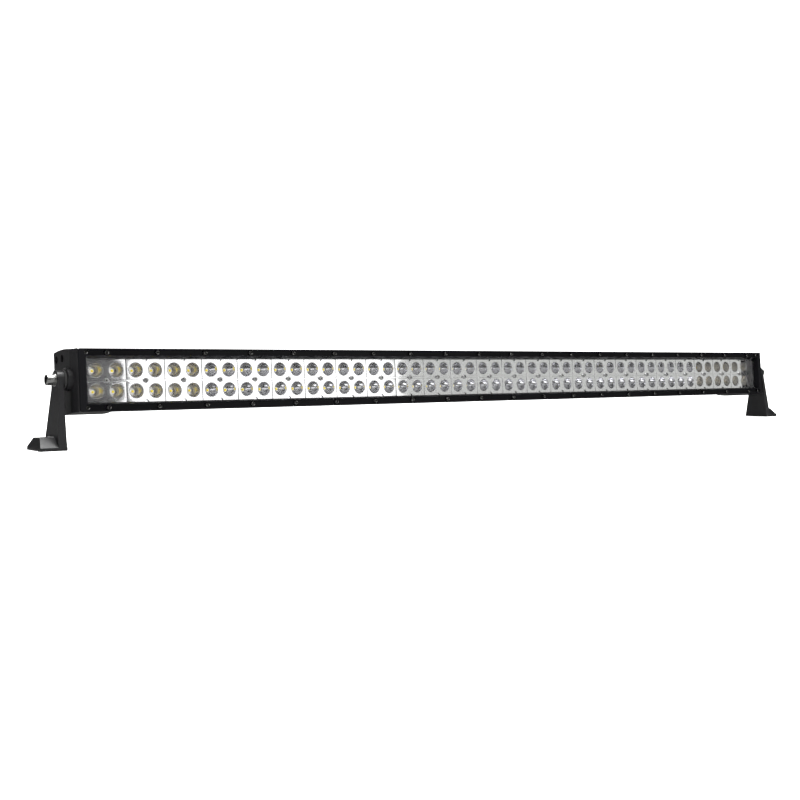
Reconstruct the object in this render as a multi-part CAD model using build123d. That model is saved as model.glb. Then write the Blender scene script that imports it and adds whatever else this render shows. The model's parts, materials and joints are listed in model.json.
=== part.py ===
from build123d import *
import os

# Dual-row LED light bar on two swivel brackets. Millimetres.
# Bar frame, used by every piece that tilts: x along the bar, y back from the bezel's front plane,
# z up from the bezel's centreline. Bracket frame: the origin is on the pivot axis, z straight up.

# LED field
led_pitch = 25.4
led_columns = 50
led_rows = 2
module_columns = 2
flood_modules_per_end = 3
modules_per_board = 5

# Front bezel: a painted frame with a screw groove along its top and bottom edges
field_to_opening_end = 6.0
end_band = 9.0
bezel_height = 75.0
bezel_depth = 12.0
bezel_corner_radius = 2.5
bezel_edge_chamfer = 0.8
edge_band = 8.9
lip_slope = 2.0
lip_depth = 9.0
groove_width = 6.7
groove_depth = 5.0
groove_inset = 4.75
end_screw_gap = 26.3
screws_at_pitch = 20
end_screw_inset = 10.0

# Lens and its gasket
lens_thickness = 4.0
lens_overlap = 3.3
lens_fit = 0.3
gasket_thickness = 2.0
gasket_width = 3.0

# Housing: finned extrusion between the end caps
flange_depth = 12.0
flange_overhang = 6.5
channel_floor_y = 33.6
floor_thickness = 4.0
chamber_height = 36.0
chamber_depth = 14.0
rear_wall = 3.0
fin_thickness = 2.0
rear_fin_pitch = 7.0
rear_fin_count = 9
rear_fin_length = 11.4
side_fin_pitch = 6.0
side_fin_count = 5
side_fin_height = 4.6
cap_reach = 45.0

# Reflectors, boards and emitters
rim_plane_y = 19.0
module_gap = 0.4
module_side_gap = 0.3
plate_thickness = 2.2
cup_rim_radius = 8.75
cup_wall = 1.0
flood_cup_base_radius = 5.2
spot_cup_base_radius = 3.6
spot_cup_belly = 1.2
post_radius = 3.3
post_ring_height = 0.6
board_thickness = 1.6
board_gap = 0.5
board_side_gap = 1.0
pad_thickness = 0.5
emitter_size = 3.45
emitter_thickness = 0.9
emitter_dome_radius = 1.3

# Driver electronics inside the rear chamber
driver_board_end_gap = 25.0
driver_board_centre_gap = 40.0
driver_board_thickness = 1.6
driver_board_slot_depth = 1.5
driver_board_slot_fit = 0.2
driver_board_y = 46.0
coil_count = 5
coil_radius = 6.5
coil_bore_radius = 2.8
coil_height = 5.5
capacitor_radius = 3.6
capacitor_height = 6.6
capacitor_gap = 2.0
link_pin_radius = 0.8
link_pin_spacing = 8.0
link_hole_clearance = 1.7

# End caps: castings that carry the pivot bosses
cap_proud = 5.3
cap_front_y = 1.5
cap_edge_width = 1.2
cap_shoulder_y = 15.0
cap_back_y = 69.5
cap_back_taper = 1.6
cap_bulge = 1.8
cap_back_step = 0.5
cap_back_bevel = 2.0
cap_edge_chamfer = 0.8
cap_side_gap = 0.15
channel_end_wall = 8.5
cap_cavity_wall = 4.0
cap_gasket_thickness = 2.0
cap_screw_radius = 2.0
cap_screw_head_radius = 3.5
cap_screw_head_height = 4.0
cap_screw_length = 20.0
cap_screw_pocket_radius = 4.6
cap_screw_seat = 8.0
cap_screw_recess_width = 3.0
cap_screw_recess_depth = 2.0
front_cap_screw_y = 39.0
front_cap_screw_inset = 2.5
rear_cap_screw_y = 58.0
rear_cap_screw_inset = 3.0
cap_port_boss_radius = 4.4

# Small screws
m3_radius = 1.5
m3_head_radius = 2.7
m3_head_height = 3.0
m3_hole_clearance = 0.2
m3_recess_width = 2.6
m3_recess_depth = 1.6
bezel_screw_length = 14.0
reflector_screw_length = 17.0
reflector_head_height = 1.8
reflector_recess_depth = 1.1
thread_fit = 0.03
tapping_allowance = 1.0

# Pivots
tilt_degrees = 4.75
pivot_y = 22.0
pivot_z = 2.0
pivot_height = 82.0
boss_radius = 14.0
boss_height = 4.8
boss_chamfer = 1.0
rubber_washer_radius = 12.0
rubber_washer_thickness = 3.0
bolt_radius = 4.0
bolt_head_radius = 6.5
bolt_head_height = 8.0
bolt_length = 28.0
bolt_socket_width = 6.0
bolt_socket_depth = 4.2
bolt_head_chamfer = 0.5
flat_washer_radius = 8.0
flat_washer_thickness = 1.2
spring_washer_radius = 7.0
spring_washer_thickness = 1.6
spring_washer_gap = 1.2
washer_bore_fit = 0.25
pivot_running_fit = 0.08

# Brackets: a tapering arm on a hollow saddle foot
arm_top_radius = 11.0
arm_boss_radius = 11.0
arm_boss_height = 2.3
arm_top_thickness = 5.6
arm_base_thickness = 10.2
foot_width = 46.0
foot_reach = 31.6
foot_height = 15.0
foot_lip = 4.0
foot_platform_width = 22.0
foot_toe_slope = 3.6
foot_wall = 3.6
foot_root_radius = 3.0
foot_hollow_flank_share = 0.6
foot_hollow_lip_share = 0.4
foot_hole_radius = 4.5
foot_relief_width = 28.0
foot_relief_height = 1.4

# Cable gland and breather on the caps' back faces
port_to_cap_end = 22.0
gland_thread_radius = 6.0
gland_hex_width = 17.0
gland_hex_thickness = 5.0
gland_ring_thickness = 1.5
gland_ring_radius = 8.0
gland_neck_radius = 6.0
gland_neck_length = 8.0
gland_nut_radius = 8.2
gland_nut_length = 11.0
gland_nut_lip = 1.5
gland_cable_radius = 3.5
gland_cable_clearance = 0.6
gland_seal_radius = 4.9
gland_seal_length = 8.0
breather_thread_radius = 4.0
breather_flange_radius = 8.0
breather_flange_thickness = 3.0
breather_stem_radius = 4.0
breather_stem_length = 3.0
breather_cap_radius = 7.0
breather_cap_thickness = 4.0
breather_cap_gap = 1.0
breather_cap_rounding = 1.2
breather_bore_radius = 1.5

# Sizes that follow from the ones above
field_length = led_pitch * led_columns
module_length = led_pitch * module_columns
module_count = led_columns // module_columns
half_opening = field_length / 2 + field_to_opening_end
opening_height_front = bezel_height - 2 * edge_band
opening_height_back = opening_height_front - 2 * lip_slope
groove_centre_z = bezel_height / 2 - groove_inset
core_height = bezel_height - 2 * flange_overhang
bezel_half_length = half_opening + end_band
screw_run = 2 * (bezel_half_length - end_screw_inset - end_screw_gap)
screw_pitch = screw_run / (screws_at_pitch - 1)
cap_inner_x = bezel_half_length - cap_reach
housing_half_length = cap_inner_x
driver_board_length = housing_half_length - driver_board_centre_gap / 2 - driver_board_end_gap
cap_start_x = cap_inner_x + cap_gasket_thickness
cap_face_x = bezel_half_length + cap_proud
boss_face_x = cap_face_x + boss_height
half_opening_back = half_opening - lip_slope
lens_half_length = half_opening_back + lens_overlap
lens_half_height = opening_height_back / 2 + lens_overlap
lens_back_y = lip_depth + lens_thickness
gasket_seat_y = lens_back_y + gasket_thickness
channel_half_height = opening_height_back / 2
channel_end_x = bezel_half_length - channel_end_wall
board_front_y = channel_floor_y - pad_thickness - board_thickness
floor_back_y = channel_floor_y + floor_thickness
chamber_back_y = floor_back_y + chamber_depth
core_back_y = chamber_back_y + rear_wall
board_span = module_length * modules_per_board
board_count = module_count // modules_per_board
board_half_height = led_pitch * led_rows / 2 - board_side_gap
arm_inner_x = boss_face_x + rubber_washer_thickness + arm_boss_height
arm_outer_x = arm_inner_x + arm_top_thickness
arm_base_x = arm_inner_x + arm_base_thickness
foot_end_x = arm_inner_x + foot_reach
foot_hole_x = (arm_base_x + foot_end_x - foot_toe_slope) / 2
port_x = cap_face_x - port_to_cap_end
edge_search = 0.1


def along_x(profile, x_start, x_end):
    """A profile drawn in (y, z), run along the bar."""
    return Pos(x_start, 0, 0) * extrude(Plane.YZ * profile, x_end - x_start)


def along_y(profile, y_start, y_end):
    """A profile drawn in (x, z), run back from the front."""
    return Pos(0, y_start, 0) * extrude(Plane.XZ * profile, y_start - y_end)


def yz_box(y_start, y_end, z_start, z_end):
    """A rectangle in (y, z)."""
    centre = Pos((y_start + y_end) / 2, (z_start + z_end) / 2)
    return centre * Rectangle(y_end - y_start, z_end - z_start)


def rod_x(radius, x_start, x_end, y=0.0, z=0.0):
    """A round bar along x."""
    return along_x(Pos(y, z) * Circle(radius), x_start, x_end)


def rod_y(radius, y_start, y_end, x=0.0, z=0.0):
    """A round bar along y."""
    return along_y(Pos(x, z) * Circle(radius), y_start, y_end)


def hexagon(width):
    """Hexagon by its width across flats."""
    return RegularPolygon(width / 2, 6, major_radius=False)


def upper_and_lower(shapes):
    """Shapes and their mirror images below the centreline."""
    return shapes + [mirror(shape, about=Plane.XY) for shape in shapes]


def bezel_screw_places():
    """(x, z) of every bezel screw along the two grooves."""
    first = -(screws_at_pitch - 1) / 2 * screw_pitch
    xs = [first + i * screw_pitch for i in range(screws_at_pitch)]
    end_x = bezel_half_length - end_screw_inset
    xs = [-end_x] + xs + [end_x]
    return [(x, z) for z in (groove_centre_z, -groove_centre_z) for x in xs]


def module_xs():
    """The centre of every two-by-two reflector module."""
    return [(i - (module_count - 1) / 2) * module_length for i in range(module_count)]


def board_xs():
    """The centre of every LED board."""
    return [(i - (board_count - 1) / 2) * board_span for i in range(board_count)]


def led_places():
    """(x, z) of every LED."""
    xs = [(i - (led_columns - 1) / 2) * led_pitch for i in range(led_columns)]
    zs = [(j - (led_rows - 1) / 2) * led_pitch for j in range(led_rows)]
    return [(x, z) for x in xs for z in zs]


def link_pin_places():
    """(x, z) of the pins that join each LED board to the drivers, on a seam between modules."""
    xs = [x + module_length / 2 for x in board_xs()]
    zs = [-link_pin_spacing / 2, link_pin_spacing / 2]
    return [(x, z) for x in xs for z in zs]


def screw_holes(y_start, y_end, radius, places):
    """Round holes along y at the given (x, z) places."""
    return [rod_y(radius, y_start, y_end, x, z) for x, z in places]


def front_bezel():
    """Frame with a sloped opening, two screw grooves and a rebate for the lens."""
    outline = RectangleRounded(2 * bezel_half_length, bezel_height, bezel_corner_radius)
    frame = along_y(outline, 0, bezel_depth)
    front_edges = frame.faces().sort_by(Axis.Y)[0].edges()
    frame = chamfer(front_edges, bezel_edge_chamfer)
    front = Rectangle(2 * half_opening, opening_height_front)
    back = Rectangle(2 * half_opening_back, opening_height_back)
    opening = loft([Plane.XZ * front, Pos(0, lip_depth, 0) * (Plane.XZ * back)])
    rebate = Rectangle(2 * (lens_half_length + lens_fit), 2 * (lens_half_height + lens_fit))
    frame = frame - opening - along_y(rebate, lip_depth, bezel_depth)
    groove_half = bezel_half_length - end_screw_inset + groove_width / 2
    groove = Pos(0, groove_centre_z) * SlotOverall(2 * groove_half, groove_width)
    frame = frame - upper_and_lower([along_y(groove, 0, groove_depth)])
    clearance_radius = m3_radius + m3_hole_clearance
    return frame - screw_holes(groove_depth, bezel_depth, clearance_radius, bezel_screw_places())


def m3_screw(head_height, length, recess_depth):
    """Cap-head screw along y, its head's seat at y = 0."""
    screw = rod_y(m3_head_radius, -head_height, 0) + rod_y(m3_radius, 0, length)
    recess = hexagon(m3_recess_width)
    return screw - along_y(recess, -head_height, recess_depth - head_height)


def bezel_screws():
    """Screws in the grooves, each a separate solid."""
    screw = m3_screw(m3_head_height, bezel_screw_length, m3_recess_depth)
    return Compound([Pos(x, groove_depth, z) * screw for x, z in bezel_screw_places()])


def lens():
    """Flat clear sheet behind the bezel's lip."""
    sheet = Rectangle(2 * lens_half_length, 2 * lens_half_height)
    return along_y(sheet, lip_depth, lens_back_y)


def lens_gasket():
    """Flat silicone ring under the edge of the lens."""
    outer = Rectangle(2 * lens_half_length, 2 * lens_half_height)
    inner = Rectangle(2 * (lens_half_length - gasket_width), 2 * (lens_half_height - gasket_width))
    return along_y(outer - inner, lens_back_y, gasket_seat_y)


def lens_seat():
    """The shallow pocket behind the bezel that holds the lens and gasket."""
    pocket = Rectangle(2 * (lens_half_length + lens_fit), 2 * (lens_half_height + lens_fit))
    return along_y(pocket, bezel_depth, gasket_seat_y)


def inner_spaces():
    """Section of the LED channel and the driver chamber."""
    channel = yz_box(gasket_seat_y, channel_floor_y, -channel_half_height, channel_half_height)
    chamber = yz_box(floor_back_y, chamber_back_y, -chamber_height / 2, chamber_height / 2)
    return channel + chamber


def cap_screw_points():
    """(y, z) of the four screws that hold each cap."""
    front = (front_cap_screw_y, core_height / 2 - front_cap_screw_inset)
    rear = (rear_cap_screw_y, core_height / 2 - rear_cap_screw_inset)
    return [(y, side * z) for y, z in (front, rear) for side in (1, -1)]


def core_section():
    """Section of the extrusion without fins or inner spaces."""
    flange = yz_box(bezel_depth, bezel_depth + flange_depth, -bezel_height / 2, bezel_height / 2)
    core = yz_box(bezel_depth, core_back_y, -core_height / 2, core_height / 2)
    return flange + core


def fin_section():
    """Rear fins, side fins and the round ports for the cap screws."""
    fins = Sketch()
    for i in range(rear_fin_count):
        z = (i - (rear_fin_count - 1) / 2) * rear_fin_pitch
        half = fin_thickness / 2
        fins += yz_box(core_back_y, core_back_y + rear_fin_length, z - half, z + half)
    first = bezel_depth + flange_depth + side_fin_pitch - fin_thickness
    side_reach = core_height / 2 + side_fin_height
    for i in range(side_fin_count):
        y = first + i * side_fin_pitch
        fins += yz_box(y, y + fin_thickness, -side_reach, side_reach)
    for y, z in cap_screw_points():
        fins += Pos(y, z) * Circle(cap_port_boss_radius)
    return fins


def housing():
    """Aluminium extrusion with the LED channel in front, the driver chamber and fins behind."""
    ports = Sketch()
    for y, z in cap_screw_points():
        ports += Pos(y, z) * Circle(cap_screw_radius + thread_fit)
    slot_half = chamber_height / 2 + driver_board_slot_depth + driver_board_slot_fit
    slot_front = driver_board_y - driver_board_slot_fit
    slot_back = driver_board_y + driver_board_thickness + driver_board_slot_fit
    slot = yz_box(slot_front, slot_back, -slot_half, slot_half)
    section = core_section() + fin_section() - inner_spaces() - ports - slot
    body = along_x(section, -housing_half_length, housing_half_length)
    body -= lens_seat()
    tapped = m3_radius + thread_fit
    inside = [(x, z) for x, z in bezel_screw_places() if abs(x) < housing_half_length]
    screw_depth = groove_depth + bezel_screw_length + tapping_allowance
    body -= screw_holes(bezel_depth, screw_depth, tapped, inside)
    middles = [(x, 0) for x in module_xs() if abs(x) < housing_half_length]
    body -= screw_holes(channel_floor_y, floor_back_y, tapped, middles)
    passage = link_pin_radius + link_hole_clearance
    body -= screw_holes(channel_floor_y, floor_back_y, passage, link_pin_places())
    return body


def cup_solid(is_flood, extra):
    """The space of one reflector cup along y, grown by extra for its outer skin."""
    rim = cup_rim_radius + extra
    base = (flood_cup_base_radius if is_flood else spot_cup_base_radius) + extra
    depth = board_front_y - rim_plane_y
    if is_flood:
        side = Line((rim, 0), (base, depth))
    else:
        middle = ((rim + base) / 2 + spot_cup_belly, depth / 2)
        side = ThreePointArc((rim, 0), middle, (base, depth))
    outline = side + Line((base, depth), (0, depth)) + Line((0, depth), (0, 0)) + Line((0, 0), (rim, 0))
    profile = make_face(outline)
    return Pos(0, rim_plane_y, 0) * revolve(profile, Axis.Y)


def reflector_module(is_flood):
    """Two-by-two reflector: a plate, four cups and a screw post, bright metallised plastic."""
    width = module_length - module_gap
    height = 2 * (channel_half_height - module_side_gap)
    cup_length = board_front_y - rim_plane_y
    module = along_y(Rectangle(width, height), rim_plane_y, rim_plane_y + plate_thickness)
    offsets = [(x, z) for x in (-led_pitch / 2, led_pitch / 2) for z in (-led_pitch / 2, led_pitch / 2)]
    skin = cup_solid(is_flood, cup_wall)
    hollow = cup_solid(is_flood, 0)
    module += [Pos(x, 0, z) * skin for x, z in offsets]
    module += rod_y(post_radius, rim_plane_y - post_ring_height, rim_plane_y + cup_length)
    module -= [Pos(x, 0, z) * hollow for x, z in offsets]
    clearance_radius = m3_radius + m3_hole_clearance
    return module - rod_y(clearance_radius, rim_plane_y - post_ring_height, board_front_y)


def reflector_row(is_flood, places):
    """Reflector modules side by side, each a separate solid."""
    module = reflector_module(is_flood)
    return Compound([Pos(x, 0, 0) * module for x in places])


def reflector_screws():
    """One long screw through the middle of each module into the channel floor."""
    screw = m3_screw(reflector_head_height, reflector_screw_length, reflector_recess_depth)
    seat = rim_plane_y - post_ring_height
    return Compound([Pos(x, seat, 0) * screw for x in module_xs()])


def board_like(y_start, y_end):
    """A row of sheets the size of the LED boards, drilled for screws and link pins."""
    sheets = []
    clearance_radius = m3_radius + m3_hole_clearance
    for centre in board_xs():
        outline = Pos(centre, 0) * Rectangle(board_span - board_gap, 2 * board_half_height)
        sheet = along_y(outline, y_start, y_end)
        near = board_span / 2
        middles = [(x, 0) for x in module_xs() if abs(x - centre) < near]
        pins = [(x, z) for x, z in link_pin_places() if abs(x - centre) < near]
        sheet -= screw_holes(y_start, y_end, clearance_radius, middles)
        sheet -= screw_holes(y_start, y_end, link_pin_radius + thread_fit, pins)
        sheets.append(sheet)
    return Compound(sheets)


def led_boards():
    """Metal-core boards that carry the LEDs."""
    return board_like(board_front_y, board_front_y + board_thickness)


def thermal_pads():
    """Soft heat-conducting sheets between the boards and the channel floor."""
    return board_like(board_front_y + board_thickness, channel_floor_y)


def led_emitters():
    """Square LED packages, each with a round dome."""
    front = board_front_y - emitter_thickness
    package = along_y(Rectangle(emitter_size, emitter_size), front, board_front_y)
    dome = Pos(0, front, 0) * Sphere(emitter_dome_radius)
    behind_y = board_front_y + emitter_dome_radius
    behind = along_y(Rectangle(emitter_size, emitter_size), board_front_y, behind_y)
    emitter = package + dome - behind
    return Compound([Pos(x, 0, z) * emitter for x, z in led_places()])


def driver_board_xs():
    """Centres of the two driver boards."""
    offset = (driver_board_length + driver_board_centre_gap) / 2
    return [-offset, offset]


def driver_boards():
    """Boards that slide in the grooves of the rear chamber."""
    half_height = chamber_height / 2 + driver_board_slot_depth
    back = driver_board_y + driver_board_thickness
    boards = []
    for x in driver_board_xs():
        outline = Pos(x, 0) * Rectangle(driver_board_length, 2 * half_height)
        board = along_y(outline, driver_board_y, back)
        pins = [place for place in link_pin_places() if abs(place[0] - x) < driver_board_length / 2]
        board -= screw_holes(driver_board_y, back, link_pin_radius + thread_fit, pins)
        boards.append(board)
    return Compound(boards)


def driver_part_xs():
    """Where each converter's coil stands."""
    step = driver_board_length / coil_count
    xs = []
    for centre in driver_board_xs():
        for i in range(coil_count):
            xs.append(centre + (i - (coil_count - 1) / 2) * step)
    return xs


def driver_coils():
    """Ring-shaped choke coils on the driver boards."""
    coil = rod_y(coil_radius, -coil_height, 0) - rod_y(coil_bore_radius, -coil_height, 0)
    return Compound([Pos(x, driver_board_y, 0) * coil for x in driver_part_xs()])


def driver_capacitors():
    """Round capacitors beside each coil."""
    can = rod_y(capacitor_radius, -capacitor_height, 0)
    offset = coil_radius + capacitor_radius + capacitor_gap
    height = link_pin_spacing / 2 + capacitor_radius + capacitor_gap
    places = [(x + side * offset, side * height) for x in driver_part_xs() for side in (1, -1)]
    return Compound([Pos(x, driver_board_y, z) * can for x, z in places])


def board_link_pins():
    """Pins that carry current from the drivers to the LED boards."""
    back = driver_board_y + driver_board_thickness
    pin = rod_y(link_pin_radius, board_front_y, back)
    return Compound([Pos(x, 0, z) * pin for x, z in link_pin_places()])


def cap_side_section():
    """The cap seen from its end: gently crowned top and bottom edges."""
    front = bezel_height / 2
    back = front - cap_back_step
    middle_y = (bezel_depth + cap_back_y) / 2
    crown = front + cap_bulge
    top = ThreePointArc((bezel_depth, front), (middle_y, crown), (cap_back_y, back))
    rear = Line((cap_back_y, back), (cap_back_y, -back))
    bottom = ThreePointArc((cap_back_y, -back), (middle_y, -crown), (bezel_depth, -front))
    nose_top = Line((bezel_depth, front), (cap_front_y, front))
    nose = Line((cap_front_y, front), (cap_front_y, -front))
    nose_bottom = Line((cap_front_y, -front), (bezel_depth, -front))
    return make_face(top + rear + bottom + nose_bottom + nose + nose_top)


def cap_plan():
    """The right cap seen from above: its outer wall wraps the bezel's end and swells outwards."""
    wall_start = bezel_half_length + cap_side_gap
    points = [
        (cap_start_x, bezel_depth),
        (wall_start, bezel_depth),
        (wall_start, cap_front_y),
        (wall_start + cap_edge_width, cap_front_y),
        (cap_face_x, cap_shoulder_y),
        (cap_face_x, cap_back_y - cap_back_bevel),
        (cap_face_x - cap_back_taper, cap_back_y),
        (cap_start_x, cap_back_y),
    ]
    return make_face(Polyline(*points, close=True))


def cap_cavities():
    """Hollows cast into the right cap: the channel's end and the rear cavity."""
    channel = yz_box(gasket_seat_y, channel_floor_y, -channel_half_height, channel_half_height)
    rear = yz_box(floor_back_y, cap_back_y - cap_cavity_wall, -chamber_height / 2, chamber_height / 2)
    rear_end_x = cap_face_x - 2 * cap_cavity_wall
    return [along_x(channel, cap_start_x, channel_end_x), along_x(rear, cap_start_x, rear_end_x)]


def right_end_cap():
    """Cast end cap with the pivot boss and four deep screw pockets."""
    block = Pos(0, 0, -bezel_height) * extrude(Plane.XY * cap_plan(), 2 * bezel_height)
    cap = block & along_x(cap_side_section(), cap_start_x, cap_face_x)
    outer_edges = cap.faces().sort_by(Axis.X)[-1].edges()
    cap = chamfer(outer_edges, cap_edge_chamfer)
    boss_root_x = bezel_half_length + cap_side_gap + cap_edge_width / 2
    boss = rod_x(boss_radius, boss_root_x, boss_face_x, pivot_y, pivot_z)
    boss = chamfer(boss.faces().sort_by(Axis.X)[-1].edges(), boss_chamfer)
    cap += boss
    cap -= cap_cavities() + [lens_seat()]
    bolt_end = arm_outer_x + flat_washer_thickness + spring_washer_thickness - bolt_length
    cap -= rod_x(bolt_radius + thread_fit, bolt_end - tapping_allowance, boss_face_x, pivot_y, pivot_z)
    seat_x = cap_start_x + cap_screw_seat
    for y, z in cap_screw_points():
        cap -= rod_x(cap_screw_pocket_radius, seat_x, cap_face_x, y, z)
        cap -= rod_x(cap_screw_radius + m3_hole_clearance, cap_start_x, seat_x, y, z)
    tapped = m3_radius + thread_fit
    outside = [(x, z) for x, z in bezel_screw_places() if x > housing_half_length]
    screw_depth = groove_depth + bezel_screw_length + tapping_allowance
    cap -= screw_holes(bezel_depth, screw_depth, tapped, outside)
    middles = [(x, 0) for x in module_xs() if x > housing_half_length]
    return cap - screw_holes(channel_floor_y, floor_back_y, tapped, middles)


def right_end_gasket():
    """Flat gasket between the extrusion and the cap."""
    section = core_section() - inner_spaces()
    for y, z in cap_screw_points():
        section += Pos(y, z) * Circle(cap_port_boss_radius)
        section -= Pos(y, z) * Circle(cap_screw_radius + m3_hole_clearance)
    return along_x(section, cap_inner_x, cap_start_x) - lens_seat()


def right_cap_screws():
    """Cap-head screws at the bottom of the pockets."""
    seat_x = cap_start_x + cap_screw_seat
    screws = []
    for y, z in cap_screw_points():
        screw = rod_x(cap_screw_head_radius, seat_x, seat_x + cap_screw_head_height, y, z)
        screw += rod_x(cap_screw_radius, seat_x - cap_screw_length, seat_x, y, z)
        recess = Pos(y, z) * hexagon(cap_screw_recess_width)
        top = seat_x + cap_screw_head_height
        screw -= along_x(recess, top - cap_screw_recess_depth, top)
        screws.append(screw)
    return Compound(screws)


def washer(x_start, thickness, outer, inner):
    """Ring on the pivot axis, in the bar frame."""
    disc = rod_x(outer, x_start, x_start + thickness, pivot_y, pivot_z)
    return disc - rod_x(inner, x_start, x_start + thickness, pivot_y, pivot_z)


def right_rubber_washer():
    """Rubber ring that gives the pivot its grip."""
    return washer(boss_face_x, rubber_washer_thickness, rubber_washer_radius, bolt_radius + washer_bore_fit)


def right_flat_washer():
    """Steel washer against the bracket arm."""
    return washer(arm_outer_x, flat_washer_thickness, flat_washer_radius, bolt_radius + washer_bore_fit)


def right_spring_washer():
    """Split lock washer under the bolt's head."""
    x = arm_outer_x + flat_washer_thickness
    ring = washer(x, spring_washer_thickness, spring_washer_radius, bolt_radius + washer_bore_fit)
    slit_profile = yz_box(-spring_washer_gap / 2, spring_washer_gap / 2, 0, 2 * spring_washer_radius)
    slit = along_x(Pos(pivot_y, pivot_z) * slit_profile, x, x + spring_washer_thickness)
    return ring - slit


def right_pivot_bolt():
    """Socket-head bolt through the bracket arm into the cap's boss."""
    under_head = arm_outer_x + flat_washer_thickness + spring_washer_thickness
    top = under_head + bolt_head_height
    head = rod_x(bolt_head_radius, under_head, top, pivot_y, pivot_z)
    head = chamfer(head.faces().sort_by(Axis.X)[-1].edges(), bolt_head_chamfer)
    bolt = head + rod_x(bolt_radius, under_head - bolt_length, under_head, pivot_y, pivot_z)
    socket = Pos(pivot_y, pivot_z) * hexagon(bolt_socket_width)
    return bolt - along_x(socket, top - bolt_socket_depth, top)


def arm_outline():
    """The arm seen from its end: a round top with straight flanks that widen to the foot."""
    base = Pos(0, -pivot_height) * Rectangle(foot_width, 2 * foot_lip)
    hull = make_hull(Circle(arm_top_radius).edges() + base.edges())
    above_ground = yz_box(-foot_width, foot_width, -pivot_height, 2 * arm_top_radius)
    return hull & above_ground


def arm_side():
    """The right arm seen from the front: vertical inside, leaning out to the foot outside."""
    top = 2 * arm_top_radius
    lean_start = -arm_top_radius
    points = [
        (arm_inner_x, -pivot_height),
        (arm_inner_x, top),
        (arm_outer_x, top),
        (arm_outer_x, lean_start),
        (arm_base_x, foot_height - pivot_height),
        (arm_base_x, -pivot_height),
    ]
    return make_face(Polyline(*points, close=True))


def foot_section(inset):
    """End view of the saddle foot, or of its hollow when inset by the wall."""
    base = foot_width / 2 - inset
    platform = foot_platform_width / 2 - inset * foot_hollow_flank_share
    lip = foot_lip - inset * foot_hollow_lip_share
    top = foot_height - inset
    points = [(-base, 0), (base, 0), (base, lip), (platform, top), (-platform, top), (-base, lip)]
    return make_face(Polyline(*points, close=True))


def foot_side():
    """The foot seen from the front, with its sloped toe."""
    points = [
        (arm_inner_x, 0),
        (foot_end_x, 0),
        (foot_end_x, foot_lip),
        (foot_end_x - foot_toe_slope, foot_height),
        (arm_inner_x, foot_height),
    ]
    return make_face(Polyline(*points, close=True))


def saddle_foot():
    """Hollow foot, open below, with a bolt hole in its platform."""
    block = along_x(foot_section(0), arm_inner_x, foot_end_x)
    foot = block & (Pos(0, foot_width, 0) * extrude(Plane.XZ * foot_side(), 2 * foot_width))
    hollow_end = foot_end_x - foot_toe_slope - foot_wall
    foot -= along_x(foot_section(foot_wall), arm_base_x, hollow_end)
    relief = Pos(0, foot_relief_height / 2) * Rectangle(foot_relief_width, foot_relief_height)
    return foot - along_x(relief, hollow_end, foot_end_x)


def right_bracket():
    """Cast bracket, in the bracket frame."""
    arm = along_x(arm_outline(), arm_inner_x, arm_base_x)
    arm = arm & (Pos(0, foot_width, 0) * extrude(Plane.XZ * arm_side(), 2 * foot_width))
    bracket = arm + Pos(0, 0, -pivot_height) * saddle_foot()
    root_z = foot_height - pivot_height
    across = bracket.edges().filter_by(Axis.Y)
    root = [e for e in across if abs(e.center().Z - root_z) < edge_search]
    root = [e for e in root if abs(e.center().X - arm_base_x) < edge_search]
    bracket = fillet(root, foot_root_radius)
    inner_boss = rod_x(arm_boss_radius, arm_inner_x - arm_boss_height, arm_inner_x)
    bracket += inner_boss
    bracket -= rod_x(bolt_radius + pivot_running_fit, arm_inner_x - arm_boss_height, arm_base_x)
    hole = Pos(foot_hole_x, 0, -pivot_height) * Cylinder(foot_hole_radius, 3 * foot_height)
    return bracket - hole


def cable_gland_body():
    """Threaded gland body through the right cap's back wall."""
    ring_back = cap_back_y + gland_ring_thickness
    hex_back = ring_back + gland_hex_thickness
    body = along_y(hexagon(gland_hex_width), ring_back, hex_back)
    body += rod_y(gland_thread_radius, cap_back_y - cap_cavity_wall, ring_back)
    body += rod_y(gland_neck_radius, hex_back, hex_back + gland_neck_length)
    body -= rod_y(gland_cable_radius + gland_cable_clearance, cap_back_y - cap_cavity_wall, hex_back)
    body -= rod_y(gland_seal_radius + thread_fit, hex_back, hex_back + gland_neck_length)
    return Pos(port_x, 0, 0) * body


def cable_gland_ring():
    """Flat sealing ring under the gland."""
    ring = rod_y(gland_ring_radius, cap_back_y, cap_back_y + gland_ring_thickness)
    ring -= rod_y(gland_thread_radius + thread_fit, cap_back_y, cap_back_y + gland_ring_thickness)
    return Pos(port_x, 0, 0) * ring


def cable_gland_seal():
    """Rubber bush that grips the cable."""
    start = cap_back_y + gland_ring_thickness + gland_hex_thickness
    seal = rod_y(gland_seal_radius, start, start + gland_seal_length)
    return Pos(port_x, 0, 0) * (seal - rod_y(gland_cable_radius, start, start + gland_seal_length))


def cable_gland_nut():
    """Domed clamping nut."""
    start = cap_back_y + gland_ring_thickness + gland_hex_thickness
    nut = rod_y(gland_nut_radius, start, start + gland_nut_length)
    rounding = gland_nut_radius - gland_cable_radius - gland_nut_lip
    nut = fillet(nut.faces().sort_by(Axis.Y)[-1].edges(), rounding)
    nut -= rod_y(gland_neck_radius + thread_fit, start, start + gland_neck_length)
    nut -= rod_y(gland_cable_radius + gland_cable_clearance, start, start + gland_nut_length)
    return Pos(port_x, 0, 0) * nut


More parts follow.
